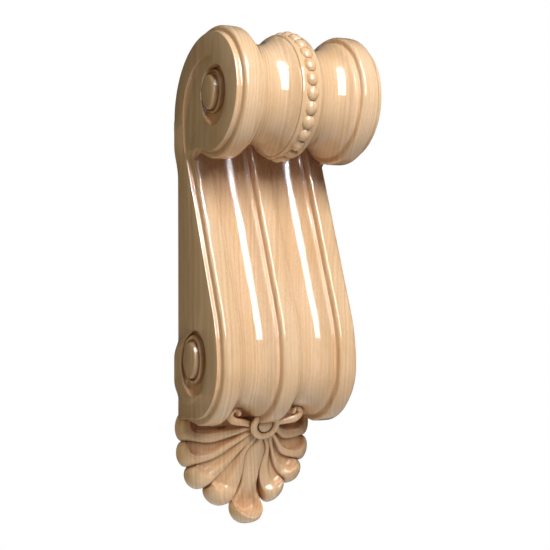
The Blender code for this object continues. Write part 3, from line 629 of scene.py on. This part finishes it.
def lobe_relief(lobe, share, t, radius, reach):
    """A side lobe over the leaf's ground: a band along its lower side loops round the end of a hollow."""
    band_root, band_end, end, corner_radius, floor, band, ball, wall_side, wall_end = LOBES[lobe]
    width = radius * np.radians(edge_angle(lobe, t) - edge_angle(lobe - 1, t))
    across = share * width
    crest = (band_root + (band_end - band_root) * smooth(25.0, end, radius)) * width
    far = np.maximum(radius - (end - corner_radius), 0.0)
    near = np.maximum(corner_radius - (across - crest), 0.0)
    inside = corner_radius - np.hypot(far, near)
    tip = smooth(end - corner_radius, end, radius)
    hollow = smooth(0.0, wall_side + (wall_end - wall_side) * tip, inside)
    past = np.maximum(-inside, 0.0)
    upper = (width - across) + 60.0 * smooth(end, end - 5.0, radius)
    rim = np.maximum(reach - radius, 0.0)
    out = 1.0 / (1.0 / np.maximum(across, 0.01) ** 3 + 1.0 / np.maximum(upper, 0.01) ** 3
                 + 1.0 / np.maximum(1.5 * rim, 0.01) ** 3) ** (1.0 / 3.0)
    place = past / (past + out + 0.001)
    edge = 0.88 - 0.38 * tip * (lobe < 3)
    peak = 0.14 + 0.16 * tip * (lobe < 3)
    rising = edge + (1 - edge) * np.sqrt(np.maximum(1 - np.minimum(place / peak - 1, 0.0) ** 2, 0.0))
    falling = np.sqrt(np.maximum(1 - np.maximum((place - peak) / (1 - peak), 0.0) ** 2, 0.0))
    foot = -0.6 + 0.5 * (1 - tip)
    height = foot + (band + (ball - band) * tip - foot) * np.where(place < peak, rising, falling)
    grow = 0.45 + 0.55 * smooth(0.0, 0.4, t)
    depth = floor * smooth(0.08, 0.3, t)
    return (height * (1 - hollow) + depth * hollow) * grow


def leaf(carving):
    """The palmette: a polar grid from the ring outwards whose outer edge drops to the wall."""
    fine = carving.fineness
    rows = np.concatenate([np.linspace(0.0, 0.62, 2 * fine, endpoint=False),
                           np.linspace(0.62, 0.90, 2 * fine, endpoint=False),
                           0.90 + 0.10 * np.sin(np.linspace(0.0, pi / 2, fine))])
    start = RING_RADIUS - 3.0
    half = [(0, step / fine) for step in range(fine + 1)]
    shares = (1 - np.cos(np.linspace(0.0, pi, int(1.3 * fine) + 1))) / 2
    half += [(lobe, share) for lobe in range(1, 5) for share in shares]
    columns = [(-1,) + column for column in reversed(half[1:])] + [(1,) + column for column in half]
    points = []
    for side, lobe, share in columns:
        reach = lobe_reach(lobe, share)
        radius = start + (reach - start) * rows
        turn = side * np.radians(lobe_angle(lobe, share, rows))
        relief = lobe_relief(lobe, share, rows, radius, reach) if lobe else tongue_relief(share, rows)
        near_end = np.maximum((rows - ROUND_FROM) / ROUND_SPAN, 0.0)
        round_off = np.sqrt(np.maximum(1 - near_end ** (2 if lobe else 4), 0.0))
        depth = (leaf_base(radius) + relief) * round_off - EDGE_PAST_WALL * smooth(0.965, 1.0, rows)
        across = radius * np.sin(turn)
        # The carver left the right half a little narrower than the left.
        across = across - LEAF_SQUEEZE * smooth(10.0, 38.0, across)
        points.extend(zip(across, -depth, LEAF_Z - radius * np.cos(turn)))
        points.append((across[-1], BACK, LEAF_Z - reach * cos(turn[-1])))
    count = len(rows) + 1
    faces = []
    for column in range(len(columns) - 1):
        for row in range(count - 1):
            first = column * count + row
            faces.append((first, first + 1, first + count + 1, first + count))
    back = len(points)
    points.append((0.0, BACK, LEAF_Z))
    front = len(points)
    points.append((0.0, -leaf_base(0.0), LEAF_Z))
    for column in range(len(columns) - 1):
        faces.append((column * count + count - 1, back, (column + 1) * count + count - 1))
        faces.append((column * count, (column + 1) * count, front))
    last = (len(columns) - 1) * count
    faces.append((front,) + tuple(range(count)) + (back,))
    faces.append((front,) + tuple(range(last, last + count)) + (back,))
    return solid("leaf", points, faces)


def curl(side):
    """The small lobe that curls up under the cove beside the ring: a tube along a smooth path."""
    given = np.array(CURL)
    place = np.linspace(0, len(given) - 1, 44)
    index = np.minimum(place.astype(int), len(given) - 2)
    share = (place - index)[:, None]
    before, here, there, after = (given[np.clip(index + step, 0, len(given) - 1)] for step in (-1, 0, 1, 2))
    centres = 0.5 * (2 * here + (there - before) * share
                     + (2 * before - 5 * here + 4 * there - after) * share ** 2
                     + (3 * here - before - 3 * there + after) * share ** 3)
    loops = []
    for index, (x, y, z, radius) in enumerate(centres):
        ahead = Vector(centres[min(index + 1, len(centres) - 1)][:3]) - Vector(centres[max(index - 1, 0)][:3])
        ahead.normalize()
        out = ahead.cross(Vector((0.0, 1.0, 0.0))).normalized()
        front = ahead.cross(out).normalized()
        loop = []
        for step in range(20):
            angle = 2 * pi * step / 20
            spot = Vector((x, y, z)) + float(radius) * (cos(angle) * out + sin(angle) * front)
            loop.append((side * spot.x, spot.y, spot.z))
        loops.append(loop)
    return loft("curl", loops)


def rosette():
    """The ring and its button at the leaf's root, tipped to face a little down."""
    def place(x, out, up):
        y = RING_Y - out * cos(RING_TILT) - up * sin(RING_TILT)
        return x, y, LEAF_Z - out * sin(RING_TILT) + up * cos(RING_TILT)

    turns = np.linspace(0, 2 * pi, 19)[:-1]
    section = [(RING_RADIUS + RING_WIRE * cos(turn), 0.75 * RING_WIRE * sin(turn)) for turn in turns]
    turns = np.linspace(0.15, pi / 2, 8)[:-1]
    button = [(0.0, DOME_ROOT), (DOME_RADIUS, DOME_ROOT), (DOME_RADIUS, DOME_FOOT)]
    button += [(DOME_RADIUS * cos(turn), DOME_FOOT + DOME_RISE * sin(turn)) for turn in turns]
    button.append((0.0, DOME_FOOT + DOME_RISE))
    ring = []
    dome = []
    for step in range(72):
        angle = 2 * pi * step / 72
        ring.append([place(r * cos(angle), out, r * sin(angle)) for r, out in section])
        dome.append([place(r * cos(angle), out, r * sin(angle)) for r, out in button])
    return loft("ring", ring, closed=True), loft("dome", dome, closed=True, on_axis=True)


def link(tree, kind, sets=None, *values, **inputs):
    """Adds a node and returns its outputs; sets are its own properties, or its operation alone.

    Inputs are plain values or sockets: the first ones in order, others by name, with _ for a space, or by
    number, as in i6.
    """
    node = tree.nodes.new(kind)
    for name, value in ({"operation": sets} if isinstance(sets, str) else sets or {}).items():
        setattr(node, name, value)
    given = dict(enumerate(values))
    for key, value in inputs.items():
        given[int(key[1:]) if key[1:].isdigit() else key.replace("_", " ")] = value
    for key, value in given.items():
        if isinstance(value, bpy.types.NodeSocket):
            tree.links.new(value, node.inputs[key])
        else:
            node.inputs[key].default_value = value
    return node.outputs


BEAD_INPUTS = {"Beads": 8, "First angle": 0.0, "Spacing": 0.4, "Circle depth": 0.0, "Circle height": 0.0,
               "Circle radius": 0.045, "Half width": 0.005, "Half length": 0.005, "Rise": 0.004, "Wood": None}
SOCKETS = {int: 'NodeSocketInt', float: 'NodeSocketFloat', type(None): 'NodeSocketMaterial'}


def bead_tree():
    """Geometry nodes that set a run of beads round a circle which lies across the bracket."""
    tree = bpy.data.node_groups.new("Bead run", 'GeometryNodeTree')
    for name, value in BEAD_INPUTS.items():
        socket = tree.interface.new_socket(name, in_out='INPUT', socket_type=SOCKETS[type(value)])
        if value is not None:
            socket.default_value = value
    tree.interface.new_socket("Beads", in_out='OUTPUT', socket_type='NodeSocketGeometry')
    given = tree.nodes.new('NodeGroupInput').outputs
    index = link(tree, 'GeometryNodeInputIndex')[0]
    turned_by = link(tree, 'ShaderNodeMath', 'MULTIPLY_ADD', index, given["Spacing"],
                     given["First angle"])[0]
    forward = link(tree, 'ShaderNodeMath', 'COSINE', turned_by)[0]
    upward = link(tree, 'ShaderNodeMath', 'SINE', turned_by)[0]
    back = link(tree, 'ShaderNodeMath', 'MULTIPLY', forward, given["Circle radius"])[0]
    depth = link(tree, 'ShaderNodeMath', 'SUBTRACT', given["Circle depth"], back)[0]
    height = link(tree, 'ShaderNodeMath', 'MULTIPLY_ADD', upward, given["Circle radius"],
                  given["Circle height"])[0]
    spot = link(tree, 'ShaderNodeCombineXYZ', Y=depth, Z=height)[0]
    tilt = link(tree, 'ShaderNodeMath', 'MULTIPLY', turned_by, -1.0)[0]
    turn = link(tree, 'ShaderNodeCombineXYZ', X=tilt)[0]
    points = link(tree, 'GeometryNodePoints', Count=given["Beads"], Position=spot)[0]
    ball = link(tree, 'GeometryNodeMeshUVSphere', Segments=BEAD_SEGMENTS, Rings=BEAD_RINGS, Radius=1.0)[0]
    laid = link(tree, 'GeometryNodeTransform', Geometry=ball, Rotation=(pi / 2, 0.0, 0.0))[0]
    sizes = given["Half width"], given["Rise"], given["Half length"]
    size = link(tree, 'ShaderNodeCombineXYZ', None, *sizes)[0]
    egg = link(tree, 'GeometryNodeTransform', Geometry=laid, Scale=size)[0]
    placed = link(tree, 'GeometryNodeInstanceOnPoints', Points=points, Instance=egg, Rotation=turn)[0]
    real = link(tree, 'GeometryNodeRealizeInstances', Geometry=placed)[0]
    wooden = link(tree, 'GeometryNodeSetMaterial', Geometry=real, Material=given["Wood"])[0]
    tree.links.new(wooden, tree.nodes.new('NodeGroupOutput').inputs[0])
    return tree


def bead_run(tree, carving, material, count, first, pitch, height, radius):
    """One run of beads as a plain mesh object."""
    values = {"Beads": count, "First angle": radians(first), "Spacing": radians(pitch),
              "Circle depth": ROLL_Y * MM, "Circle height": (height - MOUNT_HEIGHT) * MM,
              "Circle radius": (radius + BEAD_SUNK) * MM, "Half width": carving.bead_half,
              "Half length": carving.bead_long, "Rise": carving.bead_rise, "Wood": material}
    thing = bpy.data.objects.new("bead_run", bpy.data.meshes.new("bead_run"))
    bpy.context.scene.collection.objects.link(thing)
    step = thing.modifiers.new("beads", 'NODES')
    step.node_group = tree
    for socket in tree.interface.items_tree:
        if socket.in_out == 'INPUT' and socket.name in values:
            step[socket.identifier] = values[socket.name]
    graph = bpy.context.evaluated_depsgraph_get()
    mesh = bpy.data.meshes.new_from_object(thing.evaluated_get(graph))
    thing.modifiers.remove(step)
    thing.data = mesh
    return thing


def lacquered_maple(finish):
    """Hard maple, carved and sanded, under a clear gloss lacquer.

    Maple is pale and close-grained: the eye sees soft upright ring lines that turn into arches where a
    sloping surface cuts the rings, a fine upright fibre, and warm patches. The lacquer adds a sharp clear
    reflection. Hollows and creases get painted shade, darker where other wood is near, and warm in the wider
    hollows as if lacquer pooled there.
    """
    pale, warm, line, glaze_and_shade, crease_shade_colour = (tuple(colour) + (1.0,) for colour in
                                      (finish.pale, finish.warm, finish.line, finish.glaze_and_shade, finish.crease))
    material = bpy.data.materials.new("lacquered_maple")
    material.use_nodes = True
    tree = material.node_tree
    tree.nodes.clear()
    place = link(tree, 'ShaderNodeTexCoord')["Object"]
    point = link(tree, 'ShaderNodeMapping', Vector=place, Scale=(1.0 / MM, 1.0 / MM, 1.0 / MM))[0]

    noise = {}
    for name, (wide, long, detail, rough) in NOISES.items():
        place = link(tree, 'ShaderNodeMapping', Vector=point, Scale=(1 / wide, 1 / wide, 1 / long))[0]
        noise[name] = link(tree, 'ShaderNodeTexNoise', Vector=place, Scale=1.0, Detail=detail,
                           Roughness=rough)[0]
    heart = link(tree, 'ShaderNodeMapping', Vector=point, Location=HEART, Scale=(1.0, 1.0, 0.0))[0]
    reach = link(tree, 'ShaderNodeVectorMath', 'LENGTH', heart)["Value"]
    rings = link(tree, 'ShaderNodeMath', 'MULTIPLY_ADD', noise["wander"], RING_WANDER, reach)[0]
    # Growth rings of about 3 mm, uneven as real years are.
    years = link(tree, 'ShaderNodeTexNoise', {"noise_dimensions": '1D'}, W=rings, Scale=1 / BAND_WIDTH,
                 Detail=3.0, Roughness=0.62)[0]
    step = link(tree, 'ShaderNodeMath', 'DIVIDE', rings, RING_PITCH)[0]
    year = link(tree, 'ShaderNodeMath', 'FRACT', step)[0]
    late = link(tree, 'ShaderNodeMapRange', {"interpolation_type": 'SMOOTHSTEP'}, year, 0.55, 0.97)[0]
    early = link(tree, 'ShaderNodeMapRange', {"interpolation_type": 'SMOOTHSTEP'}, year, 1.0, 0.965)[0]
    ring = link(tree, 'ShaderNodeMath', 'MULTIPLY', late, early)[0]

    warmth = link(tree, 'ShaderNodeMapRange', None, noise["patch"], 0.3, 0.7)[0]
    ground = link(tree, 'ShaderNodeMix', {"data_type": 'RGBA'}, warmth, i6=pale, i7=warm)[2]
    drawn = link(tree, 'ShaderNodeMapRange', None, years, 0.35, 0.75, 0.0, BAND_STRENGTH)[0]
    lines = link(tree, 'ShaderNodeMath', 'MULTIPLY_ADD', ring, LINE_STRENGTH, drawn)[0]
    strands = link(tree, 'ShaderNodeMapRange', None, noise["fibre"], 0.40, 0.80, 0.0, FIBRE_STRENGTH)[0]
    grain = link(tree, 'ShaderNodeMath', {"operation": 'ADD', "use_clamp": True}, lines, strands)[0]
    wood = link(tree, 'ShaderNodeMix', {"data_type": 'RGBA'}, grain, i6=ground, i7=line)[2]
    # Painted shade in hollows and creases: the nearer the wood around a point, the darker its colour. Wide
    # hollows get a warm painted shade that also stands for lacquer pooled there.
    nearby = {"samples": 8, "only_local": True}
    multiply = {"data_type": 'RGBA', "blend_type": 'MULTIPLY'}
    open_air = link(tree, 'ShaderNodeAmbientOcclusion', nearby, Distance=HOLLOW_REACH)["AO"]
    sunk = link(tree, 'ShaderNodeMapRange', None, open_air, 0.35, 0.90, 0.7, 0.0)[0]
    glazed_and_shaded = link(tree, 'ShaderNodeMix', multiply, sunk, i6=wood, i7=glaze_and_shade)[2]
    # Painted shade in sharp inner corners, in the crease colour.
    close_air = link(tree, 'ShaderNodeAmbientOcclusion', nearby, Distance=CREASE_REACH)["AO"]
    crease = link(tree, 'ShaderNodeMapRange', None, close_air, 0.25, 0.75, 0.8, 0.0)[0]
    crease_shaded = link(tree, 'ShaderNodeMix', multiply, crease, i6=glazed_and_shaded, i7=crease_shade_colour)[2]

    # The sanding's waves show in wood and lacquer, the fibre in the wood alone.
    satin = link(tree, 'ShaderNodeMapRange', None, noise["fibre"], 0.3, 0.7, 0.42, 0.55)[0]
    swell = link(tree, 'ShaderNodeBump', Strength=1.0, Distance=0.0004, Height=noise["waves"])[0]
    tooth = link(tree, 'ShaderNodeBump', Strength=0.25, Distance=0.00008, Height=noise["fibre"],
                 Normal=swell)[0]
    shader = link(tree, 'ShaderNodeBsdfPrincipled', Base_Color=crease_shaded, Roughness=satin, IOR=1.5, Metallic=0.0,
                  Specular_IOR_Level=0.05, Coat_Weight=1.0, Coat_Roughness=0.06, Coat_IOR=1.62,
                  Normal=tooth, Coat_Normal=swell)[0]
    tree.links.new(shader, tree.nodes.new('ShaderNodeOutputMaterial').inputs[0])
    return material


class CORBEL_OT_carve(bpy.types.Operator):
    """Carve the bracket, give it its finish and hand it to the frame"""
    bl_idname = "corbel.carve"
    bl_label = "Carve the corbel"
    bl_options = {'REGISTER', 'UNDO'}

    def execute(self, context):
        carving, finish, _ = settings()
        maple = lacquered_maple(finish)
        corbel = body(carving)
        corbel.name = "carved_corbel"
        combine(corbel, roll(carving), 'UNION')
        combine(corbel, prism("crotch", CROTCH_HALF, CROTCH), 'UNION')
        for side in (-1, 1):
            combine(corbel, cheek(side), 'UNION')
            combine(corbel, boss(side), 'UNION')
            combine(corbel, groove(side), 'DIFFERENCE')
            for rings in (UPPER_EYE, LOWER_EYE):
                for thing, operation in eye(side, rings):
                    combine(corbel, thing, operation)
        # Every second bead at a time, because a mesh whose own balls overlap can't be joined.
        tree = bead_tree()
        for odd in (0, 1):
            for count, first, pitch, height, radius in BEAD_RUNS:
                beads = bead_run(tree, carving, maple, (count + 1 - odd) // 2, first + odd * pitch, 2 * pitch,
                                 height, radius)
                combine(corbel, beads, 'UNION')
        palmette = leaf(carving)
        combine(palmette, block("root", *LEAF_ROOT), 'UNION')
        for side in (-1, 1):
            combine(palmette, curl(side), 'UNION')
        for thing in rosette():
            combine(palmette, thing, 'UNION')
        combine(corbel, palmette, 'UNION')
        combine(corbel, block("wall", *WALL_CUT), 'DIFFERENCE')
        corbel.data.name = "carved_corbel"
        corbel.data.materials.clear()
        corbel.data.materials.append(maple)
        corbel.data.shade_smooth()
        corbel.data.set_sharp_from_angle(angle=radians(38))
        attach(corbel, "root")
        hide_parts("corbel")
        return {'FINISHED'}


def softbox(name, power, hidden_from, colour, place, target, size):
    """A rectangular lamp that faces its target, hidden from glossy or diffuse rays if so told."""
    lamp = bpy.data.lights.new(name, 'AREA')
    lamp.shape = 'RECTANGLE'
    lamp.size, lamp.size_y = size
    lamp.energy = power
    lamp.color = colour
    thing = bpy.data.objects.new(name, lamp)
    thing.location = place
    thing.rotation_euler = (Vector(target) - Vector(place)).to_track_quat('-Z', 'Y').to_euler()
    thing.visible_glossy = hidden_from != 'glossy'
    thing.visible_diffuse = hidden_from != 'diffuse'
    bpy.context.scene.collection.objects.link(thing)
    return thing


class CORBEL_OT_stage(bpy.types.Operator):
    """Set the floor, the lamps and the camera"""
    bl_idname = "corbel.stage"
    bl_label = "Set the studio"
    bl_options = {'REGISTER', 'UNDO'}

    def execute(self, context):
        _, _, studio = settings()
        scene = context.scene
        shape = bmesh.new()
        bmesh.ops.create_circle(shape, cap_ends=True, segments=96, radius=FLOOR_RADIUS)
        bmesh.ops.translate(shape, verts=shape.verts, vec=(0.0, 0.0, -studio.floor_drop))
        mesh = bpy.data.meshes.new("floor")
        shape.to_mesh(mesh)
        shape.free()
        floor = bpy.data.objects.new("floor", mesh)
        scene.collection.objects.link(floor)
        paper = bpy.data.materials.new("matt_paper")
        paper.use_nodes = True
        shader = paper.node_tree.nodes["Principled BSDF"]
        shader.inputs["Base Color"].default_value = tuple(studio.floor_colour) + (1.0,)
        shader.inputs["Roughness"].default_value = FLOOR_ROUGHNESS
        mesh.materials.append(paper)

        lamps = {name: softbox(name, getattr(studio, power), *look) for name, power, *look in LAMPS}
        lamps["low_key"].data.spread = LOW_KEY_SPREAD
        sheen = lamps["key_sheen"].data
        sheen.use_shadow = False
        sheen.cycles.use_multiple_importance_sampling = False

        world = bpy.data.worlds.new("studio")
        scene.world = world
        world.use_nodes = True
        tree = world.node_tree
        tree.nodes.clear()
        seen = link(tree, 'ShaderNodeLightPath')["Is Camera Ray"]
        dim = link(tree, 'ShaderNodeBackground', Color=AMBIENT_COLOUR, Strength=AMBIENT_STRENGTH)[0]
        white = link(tree, 'ShaderNodeBackground', Color=WHITE + (1.0,), Strength=1.0)[0]
        both = link(tree, 'ShaderNodeMixShader', None, seen, dim, white)[0]
        tree.links.new(both, tree.nodes.new('ShaderNodeOutputWorld').inputs[0])

        lens = bpy.data.cameras.new("camera")
        lens.lens, lens.sensor_width, lens.shift_y = CAMERA_LENS, CAMERA_SENSOR, CAMERA_SHIFT
        lens.clip_start = 0.01
        camera = bpy.data.objects.new("camera", lens)
        camera.location = CAMERA_PLACE
        camera.rotation_euler = tuple(radians(angle) for angle in CAMERA_TURN)
        scene.collection.objects.link(camera)
        scene.camera = camera
        scene.view_settings.view_transform = 'Standard'
        scene.cycles.use_denoising = True
        return {'FINISHED'}


class CORBEL_PT_panel(bpy.types.Panel):
    """The corbel's sizes, colours and steps"""
    bl_idname = "CORBEL_PT_panel"
    bl_label = "Carved Corbel"
    bl_space_type = 'VIEW_3D'
    bl_region_type = 'UI'
    bl_category = "Corbel"

    def draw(self, context):
        for group in settings():
            box = self.layout.box()
            for name in group.bl_rna.properties.keys():
                if name not in {"rna_type", "name"}:
                    box.prop(group, name)
        self.layout.operator(CORBEL_OT_carve.bl_idname)
        self.layout.operator(CORBEL_OT_stage.bl_idname)


CLASSES = (CorbelCarving, CorbelFinish, CorbelStudio, CORBEL_OT_carve, CORBEL_OT_stage, CORBEL_PT_panel)


def register():
    """Adds the panel, its steps and their settings."""
    for kind in CLASSES:
        bpy.utils.register_class(kind)
    scene = bpy.types.Scene
    scene.corbel_carving = PointerProperty(type=CorbelCarving)
    scene.corbel_finish = PointerProperty(type=CorbelFinish)
    scene.corbel_studio = PointerProperty(type=CorbelStudio)


def unregister():
    """Takes them away again."""
    scene = bpy.types.Scene
    del scene.corbel_studio, scene.corbel_finish, scene.corbel_carving
    for kind in reversed(CLASSES):
        bpy.utils.unregister_class(kind)


def main():
    """Registers the panel, carves the bracket and sets the studio."""
    register()
    bpy.ops.corbel.carve()
    bpy.ops.corbel.stage()


if __name__ == "__main__":
    main()
